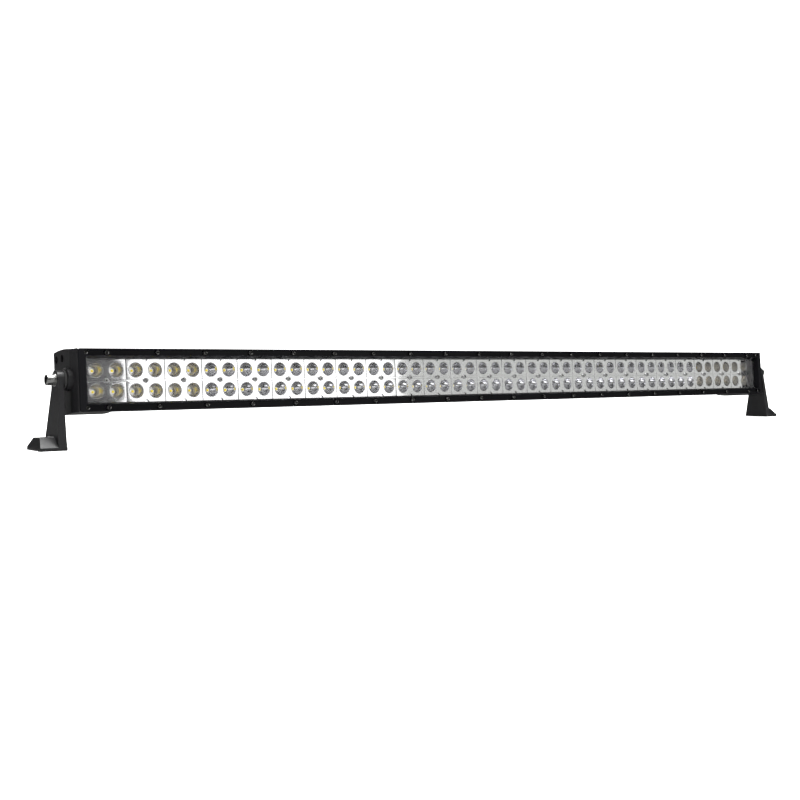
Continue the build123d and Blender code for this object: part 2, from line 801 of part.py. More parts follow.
def breather_vent():
    """Threaded vent body through the left cap's back wall."""
    flange_back = cap_back_y + breather_flange_thickness
    stem_back = flange_back + breather_stem_length
    body = rod_y(breather_thread_radius, cap_back_y - cap_cavity_wall, cap_back_y)
    body += rod_y(breather_flange_radius, cap_back_y, flange_back)
    body += rod_y(breather_stem_radius, flange_back, stem_back)
    body -= rod_y(breather_bore_radius, cap_back_y - cap_cavity_wall, stem_back)
    return Pos(-port_x, 0, 0) * body


def breather_cap():
    """Round splash cap over the vent."""
    flange_back = cap_back_y + breather_flange_thickness
    start = flange_back + breather_cap_gap
    cap = rod_y(breather_cap_radius, start, start + breather_cap_thickness)
    cap = fillet(cap.faces().sort_by(Axis.Y)[-1].edges(), breather_cap_rounding)
    cap -= rod_y(breather_stem_radius + thread_fit, start, flange_back + breather_stem_length)
    return Pos(-port_x, 0, 0) * cap


def port_hole(x, radius):
    """Threaded hole through a cap's back wall."""
    return rod_y(radius + thread_fit, cap_back_y - cap_cavity_wall, cap_back_y, x)


def mirrored(shape):
    """The left-hand copy of a right-hand piece."""
    return mirror(shape, about=Plane.YZ)


def in_place_on_bar(shape):
    """From the bar frame to the world: tilted about the pivot, at the pivot's height."""
    tilted = Rot(-tilt_degrees, 0, 0) * (Pos(0, -pivot_y, -pivot_z) * shape)
    return Pos(0, 0, pivot_height) * tilted


def tilting_pieces():
    """Every piece that turns with the bar, in the bar frame."""
    xs = module_xs()
    right_cap = right_end_cap()
    return {
        "housing": housing(),
        "front_bezel": front_bezel(),
        "bezel_screws": bezel_screws(),
        "lens": lens(),
        "lens_gasket": lens_gasket(),
        "left_flood_reflectors": reflector_row(True, xs[:flood_modules_per_end]),
        "right_flood_reflectors": reflector_row(True, xs[-flood_modules_per_end:]),
        "spot_reflectors": reflector_row(False, xs[flood_modules_per_end:-flood_modules_per_end]),
        "reflector_screws": reflector_screws(),
        "led_boards": led_boards(),
        "thermal_pads": thermal_pads(),
        "led_emitters": led_emitters(),
        "driver_boards": driver_boards(),
        "driver_coils": driver_coils(),
        "driver_capacitors": driver_capacitors(),
        "board_link_pins": board_link_pins(),
        "right_end_cap": right_cap - port_hole(port_x, gland_thread_radius),
        "left_end_cap": mirrored(right_cap) - port_hole(-port_x, breather_thread_radius),
        "right_end_gasket": right_end_gasket(),
        "left_end_gasket": mirrored(right_end_gasket()),
        "right_cap_screws": right_cap_screws(),
        "left_cap_screws": mirrored(right_cap_screws()),
        "right_pivot_bolt": right_pivot_bolt(),
        "left_pivot_bolt": mirrored(right_pivot_bolt()),
        "right_spring_washer": right_spring_washer(),
        "left_spring_washer": mirrored(right_spring_washer()),
        "right_flat_washer": right_flat_washer(),
        "left_flat_washer": mirrored(right_flat_washer()),
        "right_rubber_washer": right_rubber_washer(),
        "left_rubber_washer": mirrored(right_rubber_washer()),
        "cable_gland_body": cable_gland_body(),
        "cable_gland_ring": cable_gland_ring(),
        "cable_gland_seal": cable_gland_seal(),
        "cable_gland_nut": cable_gland_nut(),
        "breather_vent": breather_vent(),
        "breather_cap": breather_cap(),
    }


def assemble():
    """All nodes in the world frame: the origin under the middle of the whole object's box."""
    nodes = {name: in_place_on_bar(shape) for name, shape in tilting_pieces().items()}
    bracket = Pos(0, 0, pivot_height) * right_bracket()
    nodes["right_bracket"] = bracket
    nodes["left_bracket"] = mirrored(bracket)
    box = Compound(list(nodes.values())).bounding_box()
    to_origin = Pos(0, -(box.min.Y + box.max.Y) / 2, -box.min.Z)
    return {name: to_origin * shape for name, shape in nodes.items()}


os.makedirs("parts", exist_ok=True)
for name, shape in assemble().items():
    export_step(shape, f"parts/{name}.step")
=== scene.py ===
import json
import math
import bmesh
import bpy
from mathutils import Matrix, Vector


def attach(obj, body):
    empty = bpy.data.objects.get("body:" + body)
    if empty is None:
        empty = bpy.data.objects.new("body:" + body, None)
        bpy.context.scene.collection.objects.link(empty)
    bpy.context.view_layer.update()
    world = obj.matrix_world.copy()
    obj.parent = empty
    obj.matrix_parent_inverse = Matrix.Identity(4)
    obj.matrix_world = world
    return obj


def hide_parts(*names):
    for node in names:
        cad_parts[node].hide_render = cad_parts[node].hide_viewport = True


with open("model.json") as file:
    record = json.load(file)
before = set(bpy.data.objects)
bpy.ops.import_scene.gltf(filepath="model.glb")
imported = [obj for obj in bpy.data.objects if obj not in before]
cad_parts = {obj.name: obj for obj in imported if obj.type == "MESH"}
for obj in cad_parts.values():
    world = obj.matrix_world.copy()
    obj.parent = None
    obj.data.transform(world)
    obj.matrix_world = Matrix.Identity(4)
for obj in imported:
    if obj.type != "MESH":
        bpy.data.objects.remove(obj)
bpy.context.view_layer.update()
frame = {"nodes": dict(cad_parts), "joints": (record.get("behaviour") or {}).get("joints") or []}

# The bar leans back between its two brackets, so its pieces are drawn upright in the bar's own frame
# (x along it, y back from the bezel's front plane, z up from its centreline, in millimetres) and then
# leaned about the pivot axis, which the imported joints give.
LEAN = math.radians(4.75)
PIVOT_ON_BAR = Vector((0.0, 22.0, 2.0))
pivot = Vector(frame["joints"][0]["pos_m"])
pivot.x = 0.0
BAR_TO_ROOM = (
    Matrix.Translation(pivot)
    @ Matrix.Rotation(-LEAN, 4, "X")
    @ Matrix.Scale(0.001, 4)
    @ Matrix.Translation(-PIVOT_ON_BAR)
)

# Housing: a black powder-coated aluminium extrusion with cooling fins down its back, sawn to length.
# Its edges are slightly rounded by the coating, so the extruded shape gets a fine bevel all over.


def spread(nodes, links, source, low, high):
    """Turns a 0 to 1 pattern into a value from low to high."""
    span = nodes.new("ShaderNodeMapRange")
    span.inputs["To Min"].default_value = low
    span.inputs["To Max"].default_value = high
    links.new(source, span.inputs["Value"])
    return span.outputs["Result"]


def noise(nodes, links, place, scale, detail=3.0, rough=0.55):
    """Cloudy pattern, scale in waves per metre."""
    cloud = nodes.new("ShaderNodeTexNoise")
    cloud.inputs["Scale"].default_value = scale
    cloud.inputs["Detail"].default_value = detail
    cloud.inputs["Roughness"].default_value = rough
    links.new(place, cloud.inputs["Vector"])
    return cloud.outputs["Fac"]


def finish(name, dark, light, rough, patch, grain, bump, metal=0.0, specular=0.5):
    """A finish with cloudy colour, uneven gloss and a fine grain. patch and grain are waves per metre."""
    mat = bpy.data.materials.new(name)
    mat.use_nodes = True
    nodes, links = mat.node_tree.nodes, mat.node_tree.links
    shader = nodes["Principled BSDF"]
    shader.inputs["Metallic"].default_value = metal
    shader.inputs["Specular IOR Level"].default_value = specular
    where = nodes.new("ShaderNodeTexCoord").outputs["Object"]
    clouds = noise(nodes, links, where, patch)
    fine = noise(nodes, links, where, grain, detail=2.0)
    both = nodes.new("ShaderNodeMath")
    both.operation = "MULTIPLY_ADD"
    both.inputs[1].default_value = 0.35
    links.new(fine, both.inputs[0])
    links.new(spread(nodes, links, clouds, -0.25, 0.9), both.inputs[2])
    tint = nodes.new("ShaderNodeMix")
    tint.data_type = "RGBA"
    tint.inputs["A"].default_value = (*dark, 1)
    tint.inputs["B"].default_value = (*light, 1)
    links.new(both.outputs["Value"], tint.inputs["Factor"])
    links.new(tint.outputs["Result"], shader.inputs["Base Color"])
    links.new(spread(nodes, links, clouds, rough[0], rough[1]), shader.inputs["Roughness"])
    relief = nodes.new("ShaderNodeBump")
    relief.inputs["Strength"].default_value = bump[0]
    relief.inputs["Distance"].default_value = bump[1]
    links.new(fine, relief.inputs["Height"])
    links.new(relief.outputs["Normal"], shader.inputs["Normal"])
    return mat


def even_shading(piece, angle=50.0):
    """Shades curves and eased edges smooth while broad flat faces stay flat."""
    mesh = piece.data
    mesh.polygons.foreach_set("use_smooth", [True] * len(mesh.polygons))
    mesh.set_sharp_from_angle(angle=math.radians(angle))
    weigh = piece.modifiers.new("even_shading", "WEIGHTED_NORMAL")
    weigh.mode, weigh.weight, weigh.keep_sharp = "FACE_AREA", 100, True


def eased(node, width, body="light_bar", steps=2):
    """A copy of a machined or cast piece with every sharp edge rounded, standing for its node."""
    bm = bmesh.new()
    bm.from_mesh(frame["nodes"][node].data)
    bmesh.ops.remove_doubles(bm, verts=bm.verts, dist=2e-6)
    bmesh.ops.dissolve_limit(
        bm, angle_limit=math.radians(0.6), verts=bm.verts, edges=bm.edges, delimit={"NORMAL"}
    )
    sharp = [e for e in bm.edges if len(e.link_faces) == 2 and e.calc_face_angle(0.0) > math.radians(35)]
    bmesh.ops.bevel(
        bm, geom=sharp, offset=width, offset_type="OFFSET", affect="EDGES", segments=steps,
        profile=0.5, material=-1, clamp_overlap=True,
    )
    mesh = bpy.data.meshes.new(node + "_eased")
    bm.to_mesh(mesh)
    bm.free()
    piece = bpy.data.objects.new(node + "_eased", mesh)
    bpy.context.scene.collection.objects.link(piece)
    even_shading(piece)
    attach(piece, body)
    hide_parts(node)
    return piece


def dress(piece, slot, *finishes):
    """Gives a piece its finishes, in the order of its faces' material numbers. The slot is not used.

    Only a piece that already has materials is cleared, because clearing sets every face's number to 0.
    """
    if piece.data.materials:
        piece.data.materials.clear()
    for mat in finishes:
        piece.data.materials.append(mat)
    return piece


housing_coat = finish(
    "housing_coat", (0.003, 0.003, 0.0035), (0.008, 0.008, 0.009),
    (0.36, 0.5), 14, 1500, (0.22, 0.00005), specular=0.3,
)
dress(eased("housing", 0.00025), "housing_paint", housing_coat)

# Driver boards: two long green boards that slide in grooves of the rear chamber, each with five
# wound ring chokes and ten electrolytic cans, and pins that carry the current forward to the LEDs.
COIL_RADIUS, COIL_BORE, COIL_HEIGHT = 6.5, 2.8, 5.5
CAN_RADIUS, CAN_HEIGHT = 3.6, 6.6
DRIVER_Y = 46.0
DRIVER_CENTRES, COIL_STEP = (-300.0, 300.0), 112.0
CAN_ALONG, CAN_UP = 12.1, 9.6


def spun(profile, steps, mats=None):
    """A closed ring or solid, from a profile of (radius, y) points turned about the y axis."""
    bm = bmesh.new()
    line = [bm.verts.new((r, y, 0)) for r, y in profile]
    closed = profile[0][0] > 0 and profile[-1][0] > 0
    ends = zip(line, line[1:] + line[:1]) if closed else zip(line, line[1:])
    edges = [bm.edges.new(pair) for pair in ends]
    bmesh.ops.spin(
        bm, geom=line + edges, cent=(0, 0, 0), axis=(0, 1, 0), angle=math.tau, steps=steps, use_merge=True
    )
    bmesh.ops.remove_doubles(bm, verts=bm.verts, dist=0.0005)
    bmesh.ops.dissolve_degenerate(bm, edges=bm.edges, dist=0.0001)
    bmesh.ops.recalc_face_normals(bm, faces=bm.faces)
    for face in bm.faces:
        face.material_index = mats(face) if mats else 0
    return bm


def add(target, source, move=(0, 0, 0), turn=None):
    """Joins a copy of one small shape into a piece, at its place."""
    part = bpy.data.meshes.new("part")
    source.to_mesh(part)
    place = Matrix.Translation(move) @ (turn or Matrix.Identity(4))
    part.transform(place)
    if place.determinant() < 0:
        part.flip_normals()
    target.from_mesh(part)
    bpy.data.meshes.remove(part)


def on_bar(name, bm, *nodes, angle=50.0):
    """Leans a piece drawn in the bar's frame into place, riding on the bar and standing for its nodes."""
    bmesh.ops.transform(bm, matrix=BAR_TO_ROOM, verts=bm.verts)
    mesh = bpy.data.meshes.new(name)
    bm.to_mesh(mesh)
    bm.free()
    piece = bpy.data.objects.new(name, mesh)
    bpy.context.scene.collection.objects.link(piece)
    even_shading(piece, angle)
    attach(piece, "light_bar")
    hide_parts(*nodes)
    return piece


green_mask = finish(
    "green_mask", (0.01, 0.12, 0.05), (0.03, 0.2, 0.09),
    (0.3, 0.45), 20, 500, (0.15, 0.00003),
)
dress(frame["nodes"]["driver_boards"], "board_green", green_mask)
tinned = finish(
    "tinned", (0.6, 0.48, 0.25), (0.8, 0.65, 0.38),
    (0.25, 0.4), 80, 900, (0.1, 0.00002), metal=1.0,
)
dress(frame["nodes"]["board_link_pins"], "brass_pin", tinned)

# Each turn of wire is a flat square loop around the ring core, and eighteen of them leave a gap.
WIRE, WIRE_HALF = 0.4, 0.42
core = spun(
    [
        (COIL_BORE + 0.35, -COIL_HEIGHT + 0.4), (COIL_BORE + 0.8, -COIL_HEIGHT + 0.25),
        (COIL_RADIUS - 0.8, -COIL_HEIGHT + 0.25), (COIL_RADIUS - 0.35, -COIL_HEIGHT + 0.4),
        (COIL_RADIUS - 0.35, -0.3), (COIL_BORE + 0.35, -0.3),
    ],
    24,
)
turn = bmesh.new()
loop = [
    (COIL_BORE + WIRE_HALF, -WIRE_HALF), (COIL_RADIUS - WIRE_HALF, -WIRE_HALF),
    (COIL_RADIUS - WIRE_HALF, -COIL_HEIGHT + WIRE_HALF), (COIL_BORE + WIRE_HALF, -COIL_HEIGHT + WIRE_HALF),
]
square = [turn.verts.new((r, y, 0)) for r, y in loop]
turn.faces.new(square)
bmesh.ops.inset_region(turn, faces=turn.faces[:], thickness=WIRE, use_even_offset=True)
inside = [f for f in turn.faces if all(len(e.link_faces) == 2 for e in f.edges)]
bmesh.ops.delete(turn, geom=inside, context="FACES")
bmesh.ops.solidify(turn, geom=turn.faces[:], thickness=0.5)
bmesh.ops.translate(turn, vec=(0, 0, 0.25), verts=turn.verts)
bmesh.ops.recalc_face_normals(turn, faces=turn.faces)
coil = bmesh.new()
add(coil, core)
for i in range(18):
    add(coil, turn, turn=Matrix.Rotation(i * math.tau / 20, 4, "Y"))
coils = bmesh.new()
can = spun(
    [
        (0, -CAN_HEIGHT + 0.3), (CAN_RADIUS - 1.0, -CAN_HEIGHT + 0.3), (CAN_RADIUS - 0.8, -CAN_HEIGHT),
        (CAN_RADIUS - 0.4, -CAN_HEIGHT), (CAN_RADIUS, -CAN_HEIGHT + 0.4), (CAN_RADIUS, -1.9),
        (CAN_RADIUS - 0.35, -1.6), (CAN_RADIUS - 0.35, -1.2), (CAN_RADIUS, -0.9), (CAN_RADIUS, 0), (0, 0),
    ],
    20,
    mats=lambda face: 1 if face.calc_center_median().y < -CAN_HEIGHT + 0.31 else 0,
)
cans = bmesh.new()
for centre in DRIVER_CENTRES:
    for i in range(-2, 3):
        x = centre + i * COIL_STEP
        add(coils, coil, (x, DRIVER_Y, 0))
        for side in (1, -1):
            add(cans, can, (x + side * CAN_ALONG, DRIVER_Y, side * CAN_UP))
enamel = finish(
    "enamel", (0.4, 0.16, 0.06), (0.62, 0.3, 0.13),
    (0.22, 0.35), 90, 1200, (0.2, 0.00004), metal=1.0,
)
dress(on_bar("wound_coils", coils, "driver_coils"), "copper_coil", enamel)
sleeve = finish("sleeve", (0.01, 0.01, 0.02), (0.03, 0.03, 0.05), (0.25, 0.35), 60, 700, (0.1, 0.00003))
can_top = finish(
    "can_top", (0.5, 0.5, 0.5), (0.65, 0.65, 0.65),
    (0.25, 0.4), 200, 900, (0.1, 0.00002), metal=1.0,
)
dress(on_bar("cans", cans, "driver_capacitors"), "capacitor_sleeve", sleeve, can_top)

# LED boards: five aluminium boards with a white solder mask, clamped by the long module screws. Each
# presses a soft grey thermal pad against the housing's web.
white_mask = finish(
    "white_mask", (0.78, 0.78, 0.76), (0.86, 0.86, 0.84),
    (0.3, 0.42), 12, 700, (0.1, 0.00003),
)
dress(frame["nodes"]["led_boards"], "board_white", white_mask)
pad_grey = finish("pad_grey", (0.35, 0.4, 0.45), (0.45, 0.5, 0.55), (0.7, 0.85), 25, 600, (0.3, 0.00005))
dress(frame["nodes"]["thermal_pads"], "thermal_pad", pad_grey)

# LED emitters: a pale ceramic square soldered to the board, with yellow phosphor moulded into a low dome
# on top. One is built and repeated over the two rows of columns.
EMITTER, EMITTER_BACK, EMITTER_FRONT = 3.45, 31.5, 30.6
LED_PITCH, COLUMNS = 25.4, 50
package = bmesh.new()
bmesh.ops.create_cube(package, size=1.0)
bmesh.ops.scale(package, vec=(EMITTER, EMITTER_BACK - EMITTER_FRONT, EMITTER), verts=package.verts)
bmesh.ops.bevel(
    package, geom=[e for e in package.edges if abs(e.verts[0].co.y - e.verts[1].co.y) > 0.1],
    offset=0.35, affect="EDGES", segments=1, profile=0.5, material=-1,
)
front = [f for f in package.faces if f.normal.y < -0.9]
bmesh.ops.inset_region(package, faces=front, thickness=0.16, depth=-0.12)
for face in [f for f in package.faces if f.normal.y < -0.9 and f.calc_area() > 5]:
    face.material_index = 1
dome = spun(
    [(0, -1.28), (0.6, -1.2), (1.1, -0.92), (1.42, -0.5), (1.52, 0.0), (0, 0.0)], 16, mats=lambda face: 1
)
emitter = bmesh.new()
add(emitter, package, (0, (EMITTER_BACK + EMITTER_FRONT) / 2, 0))
add(emitter, dome, (0, EMITTER_FRONT + 0.1, 0))
emitters = bmesh.new()
for column in range(COLUMNS):
    for row in (-0.5, 0.5):
        add(emitters, emitter, ((column - (COLUMNS - 1) / 2) * LED_PITCH, 0, row * LED_PITCH))
ceramic = finish("ceramic", (0.75, 0.74, 0.68), (0.86, 0.85, 0.8), (0.35, 0.5), 300, 1500, (0.1, 0.00002))
phosphor = finish(
    "phosphor", (0.92, 0.68, 0.02), (1.0, 0.82, 0.05),
    (0.3, 0.45), 700, 2500, (0.1, 0.00002), specular=0.2,
)
dress(on_bar("emitters", emitters, "led_emitters"), "led_phosphor", ceramic, phosphor)

# Reflectors: two-by-two mouldings, metallised to a mirror, held down by one long screw each. The three
# at either end have fluted open cups for flood light, the rest deep smooth cups for spot light.
MODULE_X, MODULE_Z, PLATE, RIM_Y = 50.4, 52.6, 2.2, 19.0
CUP_RIM, CUP_END_Y, CUP_WALL = 8.75, 31.45, 1.0
FLOOD_BASE, SPOT_BASE, LED_HOLE = 5.2, 3.6, 2.6
POST, POST_BORE, POST_PROUD = 3.3, 1.7, 0.6
NOTCH, CHANNEL, CHANNEL_DEPTH = 2.8, 2.3, 0.65
MODULES, FLOODS = 25, 3
FLUTES = 30


def drill(bm, radius, x, z, y_start, y_end, steps=32):
    """Adds a round cutter along y."""
    rod = bmesh.new()
    bmesh.ops.create_cone(
        rod, cap_ends=True, segments=steps, radius1=radius, radius2=radius, depth=y_end - y_start
    )
    bmesh.ops.rotate(rod, cent=(0, 0, 0), matrix=Matrix.Rotation(math.pi / 2, 3, "X"), verts=rod.verts)
    add(bm, rod, (x, (y_start + y_end) / 2, z))


def bored(solid, cutter):
    """Cuts one shape out of another and gives the result."""
    objects = []
    for name, bm in (("solid", solid), ("cutter", cutter)):
        mesh = bpy.data.meshes.new(name)
        bm.to_mesh(mesh)
        objects.append(bpy.data.objects.new(name, mesh))
        bpy.context.scene.collection.objects.link(objects[-1])
    cut = objects[0].modifiers.new("cut", "BOOLEAN")
    cut.object, cut.operation, cut.solver = objects[1], "DIFFERENCE", "EXACT"
    done = bpy.data.meshes.new_from_object(objects[0].evaluated_get(bpy.context.evaluated_depsgraph_get()))
    result = bmesh.new()
    result.from_mesh(done)
    for o in objects:
        bpy.data.objects.remove(o)
    return result


def cup_profile(base, belly):
    """Rolled rim, inner wall and outer skin of one cup, as (radius, y)."""
    lip = [
        (CUP_RIM + 0.75, RIM_Y + 0.02), (CUP_RIM + 0.6, RIM_Y - 0.22),
        (CUP_RIM + 0.2, RIM_Y - 0.3), (CUP_RIM - 0.08, RIM_Y - 0.1),
    ]
    wall = []
    for i in range(1, 8):
        t = i / 7
        radius = CUP_RIM + (base - CUP_RIM) * t + belly * 4 * t * (1 - t)
        wall.append((radius, RIM_Y + (CUP_END_Y - RIM_Y) * t))
    wall[-1] = (base, CUP_END_Y - 0.5)
    foot = [(LED_HOLE, CUP_END_Y - 0.35), (LED_HOLE, CUP_END_Y)]
    skin = [(base + CUP_WALL, CUP_END_Y), (CUP_RIM + CUP_WALL - 0.1, RIM_Y + PLATE)]
    return lip + wall + foot + skin


def module(is_flood):
    """One moulding, drawn about its own screw."""
    plate = bmesh.new()
    bmesh.ops.create_cube(plate, size=1.0)
    bmesh.ops.scale(plate, vec=(MODULE_X, PLATE, MODULE_Z), verts=plate.verts)
    bmesh.ops.translate(plate, vec=(0, RIM_Y + PLATE / 2, 0), verts=plate.verts)
    cutter = bmesh.new()
    for x in (-LED_PITCH / 2, LED_PITCH / 2):
        for z in (-LED_PITCH / 2, LED_PITCH / 2):
            drill(cutter, CUP_RIM + 0.4, x, z, RIM_Y - 1, RIM_Y + PLATE + 1, 48)
    drill(cutter, POST_BORE + 0.2, 0, 0, RIM_Y - 1, RIM_Y + PLATE + 1, 20)
    for z in (-MODULE_Z / 2, MODULE_Z / 2):
        drill(cutter, NOTCH, 0, z, RIM_Y - 1, RIM_Y + PLATE - 0.6, 28)
    for side in (-1, 1):
        slot = bmesh.new()
        bmesh.ops.create_cube(slot, size=1.0)
        bmesh.ops.scale(slot, vec=(MODULE_X / 2 - POST, 2.0, CHANNEL), verts=slot.verts)
        add(cutter, slot, (side * (MODULE_X / 4 + POST / 2 + 0.5), RIM_Y - 1.0 + CHANNEL_DEPTH, 0))
    plate = bored(plate, cutter)
    edges = [
        e for e in plate.edges
        if len(e.link_faces) == 2 and e.calc_face_angle(0.0) > 0.9
        and all(v.co.y < RIM_Y + 0.01 for v in e.verts)
    ]
    bmesh.ops.bevel(
        plate, geom=edges, offset=0.42, affect="EDGES", segments=2,
        profile=0.5, material=-1, clamp_overlap=True,
    )
    whole = bmesh.new()
    add(whole, plate)
    if is_flood:
        cup = spun(cup_profile(FLOOD_BASE, 0.25), 2 * FLUTES)
        for v in cup.verts:
            radius = math.hypot(v.co.x, v.co.z)
            inside = RIM_Y + 0.5 < v.co.y < CUP_END_Y - 0.1 and 4 < radius < CUP_RIM - 0.2
            if inside and round(math.atan2(v.co.z, v.co.x) / math.tau * 2 * FLUTES) % 2:
                v.co.x *= 1 - 0.3 / radius
                v.co.z *= 1 - 0.3 / radius
    else:
        cup = spun(cup_profile(SPOT_BASE, 1.2), 40)
    for face in cup.faces:
        middle = face.calc_center_median()
        inner = math.hypot(middle.x, middle.z) < CUP_RIM and middle.y > RIM_Y + 0.3
        face.material_index = (1 if is_flood else 2) if inner else 0
    for x in (-LED_PITCH / 2, LED_PITCH / 2):
        for z in (-LED_PITCH / 2, LED_PITCH / 2):
            add(whole, cup, (x, 0, z))
    ring = [
        (POST_BORE, RIM_Y - POST_PROUD + 0.15), (POST_BORE + 0.15, RIM_Y - POST_PROUD),
        (POST - 0.2, RIM_Y - POST_PROUD), (POST, RIM_Y - POST_PROUD + 0.2),
        (POST, CUP_END_Y), (POST_BORE, CUP_END_Y),
    ]
    add(whole, spun(ring, 24))
    return whole


mirror_coat = finish(
    "mirror_coat", (0.88, 0.88, 0.89), (0.94, 0.94, 0.94),
    (0.04, 0.08), 35, 90, (0.012, 0.0001), metal=1.0,
)
fluted_coat = finish(
    "fluted_coat", (0.66, 0.64, 0.6), (0.82, 0.8, 0.76),
    (0.2, 0.3), 120, 900, (0.1, 0.00004), metal=1.0,
)
spot_coat = finish(
    "spot_coat", (0.72, 0.72, 0.74), (0.9, 0.9, 0.92),
    (0.1, 0.2), 90, 700, (0.1, 0.00004), metal=1.0,
)
flood_module, spot_module = module(True), module(False)
rows = {
    "left_flood_reflectors": (flood_module, range(0, FLOODS)),
    "spot_reflectors": (spot_module, range(FLOODS, MODULES - FLOODS)),
    "right_flood_reflectors": (flood_module, range(MODULES - FLOODS, MODULES)),
}
for node, (shape, places) in rows.items():
    row = bmesh.new()
    for i in places:
        add(row, shape, ((i - (MODULES - 1) / 2) * 2 * LED_PITCH, 0, 0))
    mouldings = on_bar(node.replace("reflectors", "mouldings"), row, node)
    dress(mouldings, "metallised", mirror_coat, fluted_coat, spot_coat)

# Module screws: long stainless cap heads with a hexagon socket, cold-headed and then turned. One runs
# down the hollow post in the middle of each reflector module.


def socket_screw(head, height, shank, length, socket, depth, chamfer, cuts=2):
    """A socket screw along y: its head stands in front of y = 0 and its shank runs back."""
    bm = bmesh.new()
    steps = 6 * (cuts + 1)
    outer = bmesh.ops.create_circle(bm, segments=steps, radius=head)["verts"]
    side = list({e for v in outer for e in v.link_edges})
    for level, radius in ((height - chamfer, head), (height, head - chamfer)):
        grown = bmesh.ops.extrude_edge_only(bm, edges=side)["geom"]
        ring = [g for g in grown if isinstance(g, bmesh.types.BMVert)]
        scale = radius / math.hypot(ring[0].co.x, ring[0].co.y)
        bmesh.ops.scale(bm, vec=(scale, scale, 1), verts=ring)
        bmesh.ops.translate(bm, vec=(0, 0, level - ring[0].co.z), verts=ring)
        side = [g for g in grown if isinstance(g, bmesh.types.BMEdge) and all(v in ring for v in g.verts)]
    lift = Matrix.Translation((0, 0, 2 * height))
    bmesh.ops.create_circle(bm, segments=6, radius=socket / 2 / math.cos(math.pi / 6), matrix=lift)
    hex_edges = [e for e in bm.edges if all(v.co.z > 1.5 * height for v in e.verts)]
    bmesh.ops.subdivide_edges(bm, edges=hex_edges, cuts=cuts)
    hexagon = [v for v in bm.verts if v.co.z > 1.5 * height]
    hex_edges = list({e for v in hexagon for e in v.link_edges})
    bmesh.ops.translate(bm, vec=(0, 0, -height), verts=hexagon)
    rim = [e for e in bm.edges if e.is_boundary and all(v.co.z > height - 0.01 for v in e.verts)]
    bmesh.ops.bridge_loops(bm, edges=rim + hex_edges)
    down = bmesh.ops.extrude_edge_only(bm, edges=hex_edges)["geom"]
    floor = [g for g in down if isinstance(g, bmesh.types.BMVert)]
    bmesh.ops.translate(bm, vec=(0, 0, -depth), verts=floor)
    bmesh.ops.edgeloop_fill(
        bm, edges=[g for g in down if isinstance(g, bmesh.types.BMEdge) and g.is_boundary]
    )
    side = [e for e in bm.edges if e.is_boundary]
    for level, radius in ((0, shank), (-length + 0.4, shank), (-length, shank - 0.4)):
        grown = bmesh.ops.extrude_edge_only(bm, edges=side)["geom"]
        ring = [g for g in grown if isinstance(g, bmesh.types.BMVert)]
        scale = radius / math.hypot(ring[0].co.x, ring[0].co.y)
        bmesh.ops.scale(bm, vec=(scale, scale, 1), verts=ring)
        bmesh.ops.translate(bm, vec=(0, 0, level - ring[0].co.z), verts=ring)
        side = [g for g in grown if isinstance(g, bmesh.types.BMEdge) and g.is_boundary]
    bmesh.ops.edgeloop_fill(bm, edges=side)
    bmesh.ops.recalc_face_normals(bm, faces=bm.faces)
    # Faces inside the hexagon socket take the second finish, which is painted shade for the recess.
    for face in bm.faces:
        middle = face.calc_center_median()
        face.material_index = 1 if math.hypot(middle.x, middle.y) < socket / 2 and middle.z > 0.2 else 0
    bmesh.ops.rotate(bm, cent=(0, 0, 0), matrix=Matrix.Rotation(math.pi / 2, 3, "X"), verts=bm.verts)
    return bm


bright_steel = finish(
    "bright_steel", (0.5, 0.5, 0.49), (0.72, 0.72, 0.7),
    (0.2, 0.34), 60, 1600, (0.12, 0.00003), metal=1.0,
)
# The socket's finish is painted shade: near-black steel on the walls and floor of the hexagon recess,
# standing in for the shade that falls there.
socket_painted_shade = finish(
    "socket_painted_shade", (0.03, 0.03, 0.03), (0.09, 0.09, 0.085),
    (0.4, 0.6), 300, 1600, (0.2, 0.00003), metal=1.0,
)
middle_screw = socket_screw(2.7, 1.8, 1.5, 16.9, 2.6, 1.1, 0.3)
middle_screws = bmesh.new()
for i in range(MODULES):
    add(middle_screws, middle_screw, ((i - (MODULES - 1) / 2) * 2 * LED_PITCH, RIM_Y - POST_PROUD, 0))
dress(on_bar("middle_screws", middle_screws, "reflector_screws"), "stainless", bright_steel, socket_painted_shade)

# Lens: a flat clear polycarbonate sheet that the bezel presses onto a dark grey silicone gasket. Both
# are plain shapes, so they keep their CAD meshes.
clear_sheet = finish(
    "clear_sheet", (0.93, 0.95, 0.95), (0.97, 0.98, 0.98),
    (0.02, 0.04), 5, 300, (0.02, 0.00001),
)
clear_sheet.node_tree.nodes["Principled BSDF"].inputs["Alpha"].default_value = 0.015
dress(frame["nodes"]["lens"], "clear_lens", clear_sheet)
silicone = finish(
    "silicone", (0.02, 0.02, 0.022), (0.035, 0.035, 0.037),
    (0.6, 0.75), 30, 900, (0.2, 0.00005),
)
dress(frame["nodes"]["lens_gasket"], "silicone", silicone)

# Front bezel: a black frame screwed over the lens, with a sloped opening and a channel along its top
# and bottom that the screws sit in. Milled aluminium under a slightly glossier powder coat.
bezel_coat = finish(
    "bezel_coat", (0.002, 0.002, 0.0024), (0.005, 0.005, 0.006),
    (0.24, 0.34), 11, 1700, (0.08, 0.00003), specular=0.06,
)
dress(eased("front_bezel", 0.0004), "bezel_paint", bezel_coat)
BEZEL_SCREW_Z, BEZEL_SCREW_STEP, BEZEL_END_X, GROOVE_FLOOR = 32.75, 64.6, 640.0, 5.0
bezel_screw = socket_screw(2.7, 3.0, 1.5, 13.9, 2.6, 1.6, 0.35)
bezel_screws = bmesh.new()
for z in (-BEZEL_SCREW_Z, BEZEL_SCREW_Z):
    for x in [-BEZEL_END_X] + [(i - 9.5) * BEZEL_SCREW_STEP for i in range(20)] + [BEZEL_END_X]:
        add(bezel_screws, bezel_screw, (x, GROOVE_FLOOR, z), Matrix.Rotation(x * 0.7, 4, "Y"))
